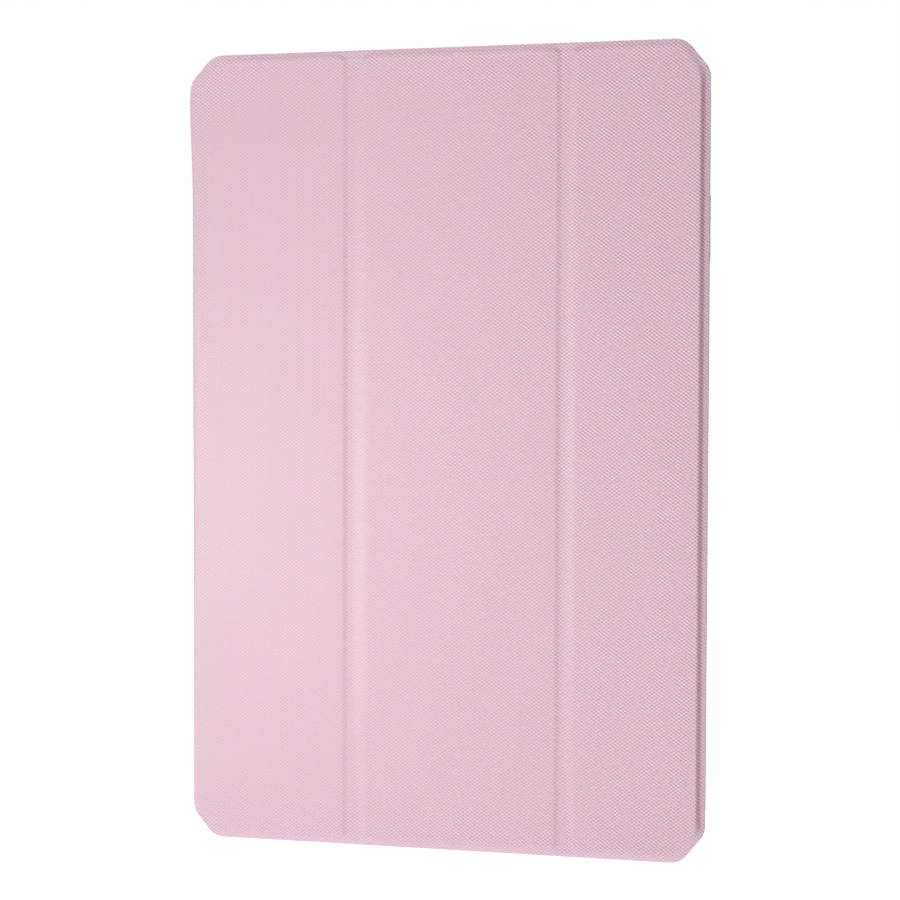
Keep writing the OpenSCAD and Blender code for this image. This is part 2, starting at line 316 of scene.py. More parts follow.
def edge_heights(u, inset, short):
    """Lowest and highest Z of the cover at unrolled distance u, for an outline moved in by inset."""
    outline = rounded_outline(cover_corners(inset, short), CORNER_ROUND - inset / 2)
    lower = outline[outline[:, 1] < MIDDLE_Z]
    order = np.argsort(lower[:, 0], kind="stable")
    x = wrap(u)[0]
    z_low = np.interp(x, lower[order, 0], lower[order, 1])
    return z_low, LOW_Z + TOP_Z - z_low


COVER_OUTLINE = rounded_outline(cover_corners(0), CORNER_ROUND)
BACK_OUTLINE = rounded_outline(cover_corners(0, BACK_SHORT), CORNER_ROUND)
FAR = 0.5


def distance_inside(u, x, z):
    """Distance in from the outline of the front cover, or of the back where u is less than 0."""
    front = -distance_outside(x, z, COVER_OUTLINE)
    back = -distance_outside(x, z, BACK_OUTLINE)
    return np.where(u < 0, back, front)


def raised_block(from_x, to_x):
    """Outline of the raised parts between two X values, without the cover's sloping corners."""
    return rounded_outline([
        (from_x, LOW_Z + END_RIM), (to_x, LOW_Z + END_RIM),
        (to_x, TOP_Z - END_RIM), (from_x, TOP_Z - END_RIM),
    ], PANEL_ROUND)


def free_side_outline():
    """Outline of the raised parts along the free edge, left open towards the spine and the ends."""
    side_x = PANEL_3_END
    slant = np.array([RAISED_CORNER_W, RAISED_CORNER_H])
    side_z = LOW_Z + RAISED_CORNER_H * (1 - (FREE_X - side_x) / RAISED_CORNER_W)
    low_far = np.array([side_x, side_z]) - slant * 3
    high_far = (low_far[0], LOW_Z + TOP_Z - low_far[1])
    return rounded_outline([
        (-FAR, low_far[1]), tuple(low_far), (side_x, side_z), (side_x, LOW_Z + TOP_Z - side_z),
        high_far, (-FAR, high_far[1]),
    ], RAISED_ROUND)


FREE_SIDE = free_side_outline()


def fold_recess(x, z, before_x, after_x, depth):
    """The sunken band at a fold: a short steep side by the panel before it, a long one by the next."""
    near_end = np.minimum(z - LOW_Z, TOP_Z - z)
    long_slope = PANEL_START_SLOPE_AT_ENDS + (
        PANEL_START_SLOPE - PANEL_START_SLOPE_AT_ENDS) * smoothstep(near_end, 4 * MM, 45 * MM)
    past_before = distance_outside(x, z, raised_block(-FAR, before_x))
    past_after = distance_outside(x, z, raised_block(after_x, FAR))
    band = np.minimum(
        smoothstep(past_before, -SHOULDER, PANEL_END_SLOPE),
        smoothstep(past_after, -SHOULDER, long_slope))
    window = smoothstep(x, before_x - 3 * MM, before_x) * (1 - smoothstep(x, after_x, after_x + 3 * MM))
    bead = np.exp(-((past_before + BEAD_INSET) / BEAD_WIDTH) ** 2)
    return depth * band * window - BEAD_HEIGHT * bead * window


def front_recess(u, z):
    """How far the front skin lies below the level of the raised panels."""
    x = wrap(u)[0] + 0 * z
    z = z + 0 * x
    past_low = LOW_RIM - (z - LOW_Z)
    past_top = TOP_RIM - (TOP_Z - z)
    past_end = np.maximum(past_low, past_top)
    fade = smoothstep(x, SPINE_X + 3 * MM, SPINE_X + 25 * MM)
    tilted = LOW_RIM_TILT * np.maximum(past_low, 0) + TOP_RIM_TILT * np.maximum(past_top, 0)
    end = fade * (END_RIM_DEPTH * smoothstep(past_end, 0, END_SLOPE) + tilted)
    bead = BEAD_HEIGHT * fade * np.exp(-((past_end + BEAD_INSET) / BEAD_WIDTH) ** 2)
    fold_1 = fold_recess(x, z, PANEL_1_END, PANEL_2_START, FOLD_1_DEPTH)
    fold_2 = fold_recess(x, z, PANEL_2_END, PANEL_3_START, FOLD_2_DEPTH)
    past_free = distance_outside(x, z, FREE_SIDE)
    along_side = smoothstep(np.minimum(z - LOW_Z, TOP_Z - z), 5 * MM, 15 * MM)
    slope = FREE_SLOPE + (FREE_SLOPE_AT_CORNERS - FREE_SLOPE) * (1 - along_side)
    depth = FREE_RIM_DEPTH * (CORNER_DEPTH_SHARE + (1 - CORNER_DEPTH_SHARE) * along_side)
    free = depth * smoothstep(past_free, FREE_SLOPE_START, slope)
    shallow = np.maximum(fold_1 + fold_2, end)
    tilt = FREE_RIM_TILT * np.maximum(past_free - slope, 0)
    return soft_max(shallow, free) + tilt + np.minimum(shallow, 0) - bead


def front_waves(u, z):
    """Slight unevenness of cloth glued over boards, flat along the edges."""
    x = wrap(u)[0]
    calm = smoothstep(-distance_outside(x + 0 * z, z + 0 * x, COVER_OUTLINE), CALM_FROM, CALM_TO)
    past_spine = smoothstep(np.abs(u) + 0 * z, HALF_FLAT, HALF_FLAT + 20 * MM)
    return WAVE_HEIGHT * calm * past_spine * (1 + ripple(u, z, (71 * MM, 43 * MM, 97 * MM), 1.3))


def spine_flare(u, z):
    """How far the skin stands out sideways at the spine, below the upper corner."""
    across = 1 - smoothstep(np.abs(u) + 0 * z, BEND_END, FLARE_ACROSS)
    return FLARE * across * np.exp(-((TOP_Z - FLARE_BELOW_TOP - z) / FLARE_REACH) ** 2)


def front_face(u, z):
    """Depth of the front skin's outer face below the case's outer face."""
    return front_recess(u, z) + front_waves(u, z)


def back_face(u, z):
    """Depth of the back skin's outer face below the case's outer face."""
    x = wrap(u)[0] + 0 * z
    inside = distance_inside(u, x, z + 0 * x)
    past_spine = smoothstep(np.abs(u) + 0 * z, HALF_FLAT, HALF_FLAT + 6 * MM)
    edge = BACK_EDGE_DROP * (1 - smoothstep(inside, 0.4 * MM, 2.4 * MM)) * past_spine
    calm = smoothstep(inside, CALM_FROM, CALM_TO) * past_spine
    waves = WAVE_HEIGHT * calm * (1 + ripple(u, z, (83 * MM, 51 * MM, 118 * MM), 4.2))
    return edge + waves


def turned_in(u, z):
    """1 along the edges of the skin, where it is turned over its boards, and 0 elsewhere."""
    x = wrap(u)[0] + 0 * z
    inside = distance_inside(u, x, z + 0 * x)
    at_edge = 1 - smoothstep(inside, TURN_IN, TURN_IN + TURN_IN_RAMP)
    return at_edge * smoothstep(np.abs(u) + 0 * z, BEND_END + STRIP_FROM, BEND_END + STRIP_TO)


def fold_dip(x):
    """How far the inner side of the cover is drawn in at each fold, which leaves room to fold."""
    dip = 0
    for a, b in ((PANEL_1_END, PANEL_2_START), (PANEL_2_END, PANEL_3_START)):
        middle, half = (a + b) / 2, (b - a) / 2
        dip = dip + FOLD_DIP * np.exp(-((x - middle) / half) ** 2)
    return dip


def front_inner(u, z):
    """Depth of the front skin's inner face."""
    edge = COVER_BACK_Y - LINING_T - FRONT_Y - fold_dip(wrap(u)[0] + 0 * z)
    flat = front_face(u, z) + SKIN_T
    return flat + np.maximum(edge - flat, 0) * turned_in(u, z)


def back_inner(u, z):
    """Depth of the back skin's inner face, whose turned-in strip hides the board's edges."""
    flat = back_face(u, z) + SKIN_T
    return flat + (BACK_SKIN_T + STRIP_OVER_BOARD - flat) * turned_in(u, z)


# ---------------------------------------------------------------------------
# Meshes of skin and lining: a closed sheet between two depths, with rolled edges
# ---------------------------------------------------------------------------

def spread(marks, wide, fine, start, end):
    """Positions from start to end: fine steps within each (from, to) mark, and wide steps elsewhere."""
    cuts = sorted({start, end, *[min(max(m, start), end) for pair in marks for m in pair]})
    places = [start]
    for a, b in zip(cuts[:-1], cuts[1:]):
        middle = (a + b) / 2
        step = fine if any(m[0] <= middle <= m[1] for m in marks) else wide
        count = max(1, math.ceil((b - a) / step - 1e-6))
        places += [a + (b - a) * (k + 1) / count for k in range(count)]
    kept = [places[0]]
    for p in places[1:]:
        if p - kept[-1] > 0.08 * MM:
            kept.append(p)
    kept[-1] = end
    return np.array(kept)


# How far before and after the spine's bend the columns of a sheet stay close together
BEND_COLUMNS_BEFORE = 1.3 * MM
BEND_COLUMNS_AFTER = 0.2 * MM


def column_places(start, end, wide=4 * MM, fine=0.3 * MM):
    """Unrolled positions of a sheet's columns, close together at slopes, bends and corners."""
    bend = (HALF_FLAT - BEND_COLUMNS_BEFORE, BEND_END + BEND_COLUMNS_AFTER)
    marks = [
        bend, (-bend[1], -bend[0]),
        (unroll(PANEL_1_END) - 1 * MM, unroll(PANEL_2_START) + 1 * MM),
        (unroll(PANEL_2_END) - 1 * MM, unroll(PANEL_3_START) + 1 * MM),
        (unroll(PANEL_3_END) - 1 * MM, FREE_U),
        (-FREE_U, -(FREE_U - BACK_SHORT - 3.4 * MM)),
    ]
    corner = unroll(SPINE_X + CORNER_W + 3 * MM)
    free_corner = unroll(FREE_X - CORNER_W - 3 * MM)
    medium = [(bend[1], corner), (free_corner, FREE_U), (-corner, -bend[1]), (-FREE_U, -free_corner)]
    coarse = spread(medium, wide, 0.7 * MM, start, end)
    dense = spread(marks, wide, fine, start, end)
    dense = [d for d in dense if any(m[0] - 1e-9 <= d <= m[1] + 1e-9 for m in marks)]
    kept = [start, start + 0.05 * MM, start + 0.15 * MM]
    for p in sorted([*coarse, *dense]):
        if p - kept[-1] > 0.12 * MM and end - p > 0.25 * MM:
            kept.append(p)
    return np.array([*kept, end - 0.15 * MM, end - 0.05 * MM, end])


# How far from each end, in mm, a sheet's rows follow the outline's sloping corners
NEAR_ROWS = 16


def row_shares(height):
    """Heights of a sheet's rows above its lower edge, close together near both ends."""
    rim = [0, 0.3, 0.6, 0.85, 1.05, 1.2, 1.35, 1.5, 1.65, 1.8, 1.95, 2.1, 2.3, 2.6]
    near = [n * MM for n in [*rim, 3, 3.5, 4.2, 5, 6, 8, 11, NEAR_ROWS]]
    count = max(2, round((height - 2 * near[-1]) / (4.6 * MM)))
    middle = np.linspace(near[-1], height - near[-1], count + 1)[1:-1]
    return np.array([*near, *middle, *[height - n for n in reversed(near)]])


def place(u, z, depth):
    """Points at unrolled distance u and height z, a depth below the case's outer face."""
    x, y, nx, ny = wrap(u)
    return np.stack([x - nx * depth, y - ny * depth, z + 0 * x], axis=-1)


def add_object(name, data):
    obj = bpy.data.objects.new(name, data)
    bpy.context.scene.collection.objects.link(obj)
    return obj


class MeshMaker:
    """Collects points and faces."""

    def __init__(self):
        self.points = []
        self.faces = []

    def add_points(self, points):
        """Adds an array of points, any shape by 3, and returns their numbers in that shape."""
        flat = np.asarray(points, float).reshape(-1, 3)
        first = sum(len(p) for p in self.points)
        self.points.append(flat)
        return (first + np.arange(len(flat))).reshape(np.asarray(points).shape[:-1])

    def add_grid(self, ids, flip=False):
        """Adds the quads between neighbouring rows and columns of a grid of point numbers."""
        for a, b in zip(ids[:-1], ids[1:]):
            for k in range(len(a) - 1):
                quad = (a[k], a[k + 1], b[k + 1], b[k])
                self.faces.append(tuple(int(i) for i in (quad[::-1] if flip else quad)))

    def make(self, name, sharp_angle=40):
        mesh = bpy.data.meshes.new(name)
        mesh.from_pydata(np.concatenate(self.points).tolist(), [], self.faces)
        mesh.validate()
        obj = add_object(name, mesh)
        tidy_normals(obj, sharp_angle)
        return obj


def tidy_normals(obj, sharp_angle=40):
    """Faces outwards, smooth shading, and sharp edges where faces meet at more than an angle."""
    bm = bmesh.new()
    bm.from_mesh(obj.data)
    bmesh.ops.remove_doubles(bm, verts=bm.verts, dist=1e-7)
    bmesh.ops.recalc_face_normals(bm, faces=bm.faces)
    for face in bm.faces:
        face.smooth = True
    limit = math.radians(sharp_angle)
    for edge in bm.edges:
        edge.smooth = not (len(edge.link_faces) == 2 and edge.calc_face_angle(0) > limit)
    bm.to_mesh(obj.data)
    bm.free()
    obj.data.update()


def make_sheet(name, start, end, outer, inner, inset=0.0, short=0.0, flare=0.0, free_end=None):
    """A closed sheet from unrolled distance start to end, between the depths outer and inner.

    Its upper and lower edges are rolled, and so is the end named by free_end; an end that meets
    the next sheet is closed flat. Inset moves the edges in from the cover's outline, short makes
    the outline shorter at the free edge, and flare is the share of the spine's bulge that it takes.
    """
    edge = inset + ROLL
    if free_end == "end":
        end = end - ROLL
    if free_end == "start":
        start = start + ROLL
    u = column_places(start, end)
    z_low, z_high = edge_heights(u, edge, short)
    rows = row_shares(TOP_Z - LOW_Z)
    share = rows / rows[-1]
    near = rows <= NEAR_ROWS * MM + 1e-9
    far = rows >= rows[-1] - NEAR_ROWS * MM - 1e-9
    z = z_low[:, None] + share[None, :] * (z_high - z_low)[:, None]
    z[:, near] = z_low[:, None] + rows[None, near]
    z[:, far] = z_high[:, None] - (rows[-1] - rows[None, far])
    uu = u[:, None] + 0 * z
    sideways = flare * spine_flare(uu, z)[..., None] * np.array([-1.0, 0, 0])
    top = place(uu, z, outer(uu, z)) + sideways
    bottom = place(uu, z, inner(uu, z)) + sideways

    maker = MeshMaker()
    top_ids = maker.add_points(top)
    bottom_ids = maker.add_points(bottom)
    maker.add_grid(top_ids)
    maker.add_grid(bottom_ids, flip=True)

    rims = {}
    for run in border_runs(top.shape[0], top.shape[1], free_end):
        ids = []
        for i, j, side in run:
            rolled = maker.add_points(np.array(roll_profile(top, bottom, i, j, side)))
            ids.append([int(top_ids[i, j]), *rolled.tolist(), int(bottom_ids[i, j])])
            rims[(i, j)] = ids[-1]
        maker.add_grid(ids)
    for i in {"end": [0], "start": [top.shape[0] - 1]}.get(free_end, [0, top.shape[0] - 1]):
        close_flat_end(maker, top_ids[i], bottom_ids[i], rims[(i, 0)], rims[(i, top.shape[1] - 1)])
    return maker.make(name)


def border_runs(columns, rows, free_end):
    """The rolled border as runs of (column, row, side), where side is the grid's way out."""
    last_c, last_r = columns - 1, rows - 1
    low_side = [(i, 0, "low") for i in range(columns)]
    high_side = [(i, last_r, "high") for i in range(columns)]
    if free_end == "end":
        return [low_side + [(last_c, j, "end") for j in range(1, last_r)] + high_side[::-1]]
    if free_end == "start":
        return [low_side[::-1] + [(0, j, "start") for j in range(1, last_r)] + high_side]
    return [low_side, high_side]


def roll_profile(top, bottom, i, j, side):
    """Points of a half-round edge from the outer face to the inner face, at one border point."""
    last_c, last_r = top.shape[0] - 1, top.shape[1] - 1
    here = top[i, j]
    if side in ("low", "high"):
        along = top[min(i + 1, last_c), j] - top[max(i - 1, 0), j]
        inward = top[i, 1 if side == "low" else last_r - 1] - here
    else:
        along = top[i, min(j + 1, last_r)] - top[i, max(j - 1, 0)]
        inward = top[1 if side == "start" else last_c - 1, j] - here
    outward = unit(np.cross(along, here - bottom[i, j]))
    if outward @ inward > 0:
        outward = -outward
    middle = (here + bottom[i, j]) / 2
    angles = [math.pi * k / ROLL_STEPS for k in range(1, ROLL_STEPS)]
    return [middle + (here - middle) * math.cos(t) + outward * ROLL * math.sin(t) for t in angles]


def close_flat_end(maker, top_line, bottom_line, low_rim, high_rim):
    """Closes an end of a sheet that meets the next sheet, with one flat face."""
    loop = [int(k) for k in top_line]
    loop += high_rim[1:-1]
    loop += [int(k) for k in bottom_line[::-1]]
    loop += low_rim[1:-1][::-1]
    maker.faces.append(tuple(loop))


# ---------------------------------------------------------------------------
# Tray, camera collar and buttons: closed lofts through rings of points
# ---------------------------------------------------------------------------

TRAY_R = 14.1 * MM
WALL_T = 1.8 * MM
LIP_REACH = 1.2 * MM
LIP_T = 0.9 * MM
POCKET_FRONT_Y = TRAY_LOW.y + LIP_T
POCKET_BACK_Y = TRAY_BACK_Y - 1.2 * MM
POCKET_MID_Y = (POCKET_FRONT_Y + POCKET_BACK_Y) / 2
TRAY_MID_X = (TRAY_LOW.x + TRAY_HIGH.x) / 2
TRAY_W = TRAY_HIGH.x - TRAY_LOW.x
TRAY_H = TRAY_HIGH.z - TRAY_LOW.z

# How far in from the outside the tray's flat back and its floor are closed by one face each
FLOOR_INSET = 25 * MM
TRAY_EDGE_R = 0.5 * MM
LIP_EDGE_R = 0.42 * MM
FLOOR_EDGE_R = 0.6 * MM

# Openings in the end walls: (length, width), and where they are
CHARGING_SLOT = (13 * MM, 5.4 * MM)
SPEAKER_SLOT = (18 * MM, 2.4 * MM)
SPEAKER_OFFSET = 55 * MM
AUDIO_SLOT = (9 * MM, 6 * MM)
AUDIO_INSET = 26 * MM

CAMERA_INSET = 22 * MM
CAMERA_W = 14 * MM
CAMERA_H = 26 * MM
COLLAR_T = 1 * MM
COLLAR_GAP = 0.1 * MM

# Buttons: a flange inside the wall and a cap that stands out through it
BUTTON_W = 3 * MM
BUTTON_OUT = 0.5 * MM
BUTTON_GAP = 0.3 * MM
FLANGE_REACH = 1.2 * MM
FLANGE_T = 0.4 * MM
POWER_L = 11.4 * MM
POWER_LEDGE = 0.8 * MM
POWER_X = (low("power_button").x + high("power_button").x) / 2
VOLUME_L = 22 * MM
VOLUME_LEDGE = 0.5 * MM
VOLUME_Z = (low("volume_rocker").z + high("volume_rocker").z) / 2
VOLUME_DIP = 0.2 * MM

# Keeper plates in the wall
KEEPER_L = 20 * MM
KEEPER_GAP = 0.1 * MM
KEEPER_PLACES = [45 * MM, 132 * MM, 235 * MM]


def rectangle_ring(width, height, radius, steps=10):
    """Points of a rounded rectangle about the origin, anticlockwise."""
    w, h = width / 2, height / 2
    return rounded_outline([(-w, -h), (w, -h), (w, h), (-w, h)], max(radius, 0.05 * MM), steps)


def slot_ring(length, width, steps=12):
    """Points of a slot shape with round ends, its long side along the first axis."""
    return rectangle_ring(length, width, width / 2 - 0.001 * MM, steps)


def loft(name, rings, sharp_angle=35):
    """A closed solid through rings that all have the same number of points."""
    maker = MeshMaker()
    ids = maker.add_points(np.array(rings))
    closed = np.concatenate([ids, ids[:, :1]], axis=1)
    maker.add_grid(closed)
    maker.faces.append(tuple(int(i) for i in ids[0]))
    maker.faces.append(tuple(int(i) for i in ids[-1][::-1]))
    return maker.make(name, sharp_angle)


def in_plane(ring, y, centre):
    """A ring laid in an X-Z plane at y."""
    return np.stack([centre[0] + ring[:, 0], np.full(len(ring), y), centre[1] + ring[:, 1]], axis=-1)


def quarter_round(radius, steps=4):
    """(moved in, moved back) steps of a rounded edge, from a side face to an end face."""
    angles = [math.pi / 2 * k / steps for k in range(steps + 1)]
    return [(radius * (1 - math.cos(t)), radius * (1 - math.sin(t))) for t in angles]


def carve(obj, tool, operation="DIFFERENCE"):
    """Cuts a tool out of a piece, or joins it on, and removes the tool."""
    modifier = obj.modifiers.new("carve", "BOOLEAN")
    modifier.solver = "EXACT"
    modifier.operation = operation
    modifier.object = tool
    bpy.context.view_layer.update()
    evaluated = obj.evaluated_get(bpy.context.evaluated_depsgraph_get())
    mesh = bpy.data.meshes.new_from_object(evaluated)
    obj.modifiers.clear()
    obj.data = mesh
    bpy.data.objects.remove(tool)


def prism_y(ring, centre, from_y, to_y):
    return loft("tool", [in_plane(ring, from_y, centre), in_plane(ring, to_y, centre)])


def prism_z(ring, centre, from_z, to_z):
    """A prism along Z whose ring lies in X-Y."""
    rings = [np.stack([centre[0] + ring[:, 0], centre[1] + ring[:, 1], np.full(len(ring), z)], axis=-1)
             for z in (from_z, to_z)]
    return loft("tool", rings)


def prism_x(ring, centre, from_x, to_x):
    """A prism along X whose ring's long side runs up Z."""
    rings = [np.stack([np.full(len(ring), x), centre[0] + ring[:, 1], centre[1] + ring[:, 0]], axis=-1)
             for x in (from_x, to_x)]
    return loft("tool", rings)


CAMERA_CENTRE = (FREE_X - CAMERA_INSET, TOP_Z - CAMERA_INSET)


def camera_ring(margin):
    """Outline of the camera window, grown by a margin, its long side up Z."""
    return slot_ring(CAMERA_H + 2 * margin, CAMERA_W + 2 * margin)[:, ::-1][::-1]


def tray_rings():
    """Rings of the tray from the middle of its back, round its wall and lip, to its floor."""
    rings = [(FLOOR_INSET, TRAY_BACK_Y)]
    back_edge = quarter_round(TRAY_EDGE_R)
    rings += [(i, TRAY_BACK_Y - b) for i, b in reversed(back_edge)]
    front_edge = quarter_round(LIP_EDGE_R)
    rings += [(i, TRAY_LOW.y + b) for i, b in front_edge]
    lip_inset = WALL_T + LIP_REACH
    rings += [(lip_inset - i, TRAY_LOW.y + b) for i, b in reversed(front_edge)]
    rings += [(lip_inset - 0.1 * MM, POCKET_FRONT_Y), (WALL_T, POCKET_FRONT_Y)]
    rings += [(WALL_T, POCKET_FRONT_Y + 0.05 * MM)]
    floor_edge = quarter_round(FLOOR_EDGE_R)
    rings += [(WALL_T + i, POCKET_BACK_Y - b) for i, b in floor_edge]
    rings += [(FLOOR_INSET, POCKET_BACK_Y)]
    centre = (TRAY_MID_X, MIDDLE_Z)
    return [in_plane(rectangle_ring(TRAY_W - 2 * i, TRAY_H - 2 * i, TRAY_R - i), y, centre)
            for i, y in rings]


def slot_cutters(length):
    """Rings of a button's hole: the cap's, and the wider one of the flange behind it."""
    cap = slot_ring(length + 2 * BUTTON_GAP, BUTTON_W + 2 * BUTTON_GAP)
    reach = FLANGE_REACH + BUTTON_GAP
    return cap, slot_ring(length + 2 * reach, BUTTON_W + 2 * reach)


def make_tray():
    tray = loft("tray", tray_rings())
    collar_edge = quarter_round(0.3 * MM)
    collar = [in_plane(camera_ring(COLLAR_T), POCKET_BACK_Y + 0.2 * MM, CAMERA_CENTRE)]
    collar += [in_plane(camera_ring(COLLAR_T - i), BACK_Y - b, CAMERA_CENTRE) for i, b in collar_edge]
    carve(tray, loft("tool", collar), "UNION")
    carve(tray, prism_y(camera_ring(0), CAMERA_CENTRE, POCKET_BACK_Y - 1 * MM, BACK_Y + 1 * MM))
    low_wall = (TRAY_LOW.z - 1 * MM, TRAY_LOW.z + WALL_T + 1 * MM)
    high_wall = (TRAY_HIGH.z - WALL_T - 1 * MM, TRAY_HIGH.z + 1 * MM)
    carve(tray, prism_z(slot_ring(*CHARGING_SLOT), (TRAY_MID_X, POCKET_MID_Y), *low_wall))
    for side in (-1, 1):
        place_x = TRAY_MID_X + side * SPEAKER_OFFSET
        carve(tray, prism_z(slot_ring(*SPEAKER_SLOT), (place_x, POCKET_MID_Y), *low_wall))
    audio_x = TRAY_LOW.x + AUDIO_INSET
    carve(tray, prism_z(slot_ring(*AUDIO_SLOT), (audio_x, POCKET_MID_Y), *high_wall))

    power = (POWER_X, POCKET_MID_Y)
    cap, flange = slot_cutters(POWER_L)
    carve(tray, prism_z(cap, power, *high_wall))
    carve(tray, prism_z(flange, power, high_wall[0], TRAY_HIGH.z - POWER_LEDGE))
    volume = (POCKET_MID_Y, VOLUME_Z)
    cap, flange = slot_cutters(VOLUME_L)
    side_wall = (TRAY_HIGH.x - WALL_T - 1 * MM, TRAY_HIGH.x + 1 * MM)
    carve(tray, prism_x(cap, volume, *side_wall))
    carve(tray, prism_x(flange, volume, side_wall[0], TRAY_HIGH.x - VOLUME_LEDGE))

    keeper_low, keeper_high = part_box("keeper_plates")
    keeper_w = keeper_high.y - keeper_low.y
    bar = rectangle_ring(keeper_w + 2 * KEEPER_GAP, KEEPER_L + 2 * KEEPER_GAP, 0.2 * MM, 3)
    for z in KEEPER_PLACES:
        rings = [np.stack([np.full(len(bar), x), POCKET_MID_Y + bar[:, 0], z + bar[:, 1]], axis=-1)
                 for x in (keeper_low.x - 0.5 * MM, keeper_high.x + KEEPER_GAP)]
        carve(tray, loft("tool", rings))
    tidy_normals(tray, 35)
    return tray


def button_rings(length, bottom, dip):
    """Rings of a button as (along, across, outwards), from its flange to its dipped top."""
    flange = (length + 2 * FLANGE_REACH, BUTTON_W + 2 * FLANGE_REACH)
    rings = [(flange, bottom), (flange, bottom + FLANGE_T)]
    rings += [((length, BUTTON_W), bottom + FLANGE_T)]
    rings += [((length - 2 * i, BUTTON_W - 2 * i), BUTTON_OUT - b) for i, b in quarter_round(0.45 * MM, 5)]
    rings += [((length - 2 * i, BUTTON_W - 2 * i), BUTTON_OUT) for i in (0.7 * MM, 1.0 * MM, 1.3 * MM)]
    made = []
    for (long_side, short_side), out in rings:
        ring = slot_ring(long_side, short_side, 16)
        ring = densify(ring, 0.8 * MM)
        level = np.full(len(ring), out)
        if out > BUTTON_OUT - 0.3 * MM:
            level = level - dip * np.exp(-(ring[:, 0] / (2.6 * MM)) ** 2)
        made.append(np.column_stack([ring, level]))
    return made


def densify(ring, step):
    """Splits the two long straight sides of a slot ring into the same number of short pieces."""
    count = 14
    points = []
    for k in range(len(ring)):
        a, b = ring[k], ring[(k + 1) % len(ring)]
        points.append(a)
        if np.linalg.norm(b - a) > 5 * step:
            points += [a + (b - a) * n / count for n in range(1, count)]
    return np.array(points)


def make_power_button():
    bottom = low("power_button").z - TRAY_HIGH.z
    rings = [np.stack([POWER_X + r[:, 0], POCKET_MID_Y + r[:, 1], TRAY_HIGH.z + r[:, 2]], axis=-1)
             for r in button_rings(POWER_L, bottom, 0)]
    return loft("power_key_cap", rings)


def make_volume_rocker():
    bottom = low("volume_rocker").x - TRAY_HIGH.x
    rings = [np.stack([TRAY_HIGH.x + r[:, 2], POCKET_MID_Y + r[:, 1], VOLUME_Z + r[:, 0]], axis=-1)
             for r in button_rings(VOLUME_L, bottom, VOLUME_DIP)]
    return loft("volume_key_cap", rings)


# ---------------------------------------------------------------------------
# The skin in four pieces and the lining in three, cut where nothing bends
# ---------------------------------------------------------------------------

def lining_on_cover(u, z):
    """0 where the lining lies on the spine and 1 where it lies on the cover."""
    return smoothstep(u + 0 * z, BEND_END + 0.2 * MM, BEND_END + 5 * MM)


def lining_path(u, z):
    """Depth of the front lining's outer face, which goes down to the spine lining's at the bend."""
    cover = COVER_BACK_Y - LINING_T - FRONT_Y
    dip = fold_dip(wrap(u)[0] + 0 * z)
    return SPINE_LINING_OUT + (cover - SPINE_LINING_OUT) * lining_on_cover(u, z) - dip


def lining_face(u, z):
    """Depth of the front lining's inner face."""
    spine_t = SPINE_LINING_IN - SPINE_LINING_OUT
    return lining_path(u, z) + spine_t + (LINING_T - spine_t) * lining_on_cover(u, z)


def points_of(obj):
    """A mesh's points, one row for each."""
    co = np.zeros(len(obj.data.vertices) * 3)
    obj.data.vertices.foreach_get("co", co)
    return co.reshape(-1, 3)


def mark_weave(obj, outline):
    """Keeps each point's place in the cloth and its distance from the cloth's edge."""
    co = points_of(obj)
    edge = -distance_outside(co[:, 0], co[:, 2], outline)
    past_bend = smoothstep(co[:, 0], SPINE_X + BEND_R, SPINE_X + 3 * BEND_R)
    near_end = np.minimum(co[:, 2] - LOW_Z, TOP_Z - co[:, 2])
    edge = edge * past_bend + near_end * (1 - past_bend)
    values = np.column_stack([unroll_any(co), co[:, 2], np.maximum(edge, 0)])
    add_attribute(obj, "weave_at", values)


def add_attribute(obj, name, values):
    """Keeps three numbers for each point of a mesh."""
    attribute = obj.data.attributes.new(name, "FLOAT_VECTOR", "POINT")
    attribute.data.foreach_set("vector", values.astype(np.float32).ravel())


def mark_painted_shade_and_edge_tone(obj):
    """Keeps a painted shade mask, darker where the front skin slopes steeply down, and a mask of the strip
    along the free edge.
    """
    co = points_of(obj)
    u, z = unroll_any(co), co[:, 2]
    step = 0.1 * MM
    across = (front_recess(u + step, z) - front_recess(u - step, z)) / (2 * step)
    upward = (front_recess(u, z + step) - front_recess(u, z - step)) / (2 * step)
    on_front = smoothstep(u, unroll(SPINE_X + 5 * MM), unroll(SPINE_X + 8 * MM))
    # painted shade: the skin is darkened where it slopes down into folds and rims, where shade falls
    painted_crease_shade = on_front * smoothstep(np.hypot(across, upward), PAINTED_SHADE_STARTS, PAINTED_SHADE_FULL)
    free_edge_strip = smoothstep(co[:, 0], FREE_X - 2.4 * MM, FREE_X - 1.2 * MM)
    add_attribute(obj, "painted_shade_and_edge_tone", np.column_stack([painted_crease_shade, free_edge_strip, 0 * painted_crease_shade]))


PANEL_1_CUT = (unroll(PANEL_1_END) + HALF_FLAT + BEND_LENGTH) / 2
PANEL_2_CUT = (unroll(PANEL_2_START) + unroll(PANEL_2_END)) / 2

back_skin = make_sheet("back_skin_cloth", BACK_SHORT - FREE_U, 0.0, back_face, back_inner,
                       short=BACK_SHORT, flare=1.0, free_end="start")
carve(back_skin, prism_y(camera_ring(COLLAR_T + COLLAR_GAP), CAMERA_CENTRE,
                         TRAY_BACK_Y - 1 * MM, BACK_Y + 1 * MM))
tidy_normals(back_skin)
panel_1_skin = make_sheet("spine_and_panel_1_cloth", 0.0, PANEL_1_CUT, front_face, front_inner, flare=1.0)
panel_2_skin = make_sheet("panel_2_cloth", PANEL_1_CUT, PANEL_2_CUT, front_face, front_inner)
panel_3_skin = make_sheet("panel_3_cloth", PANEL_2_CUT, FREE_U, front_face, front_inner, free_end="end")
lining_1 = make_sheet("spine_and_panel_1_lining", -SPINE_LINING_BACK_Y + 0.2 * MM, PANEL_1_CUT,
                      lining_path, lining_face, LINING_INSET)
lining_2 = make_sheet("panel_2_lining_cloth", PANEL_1_CUT, PANEL_2_CUT,
                      lining_path, lining_face, LINING_INSET)
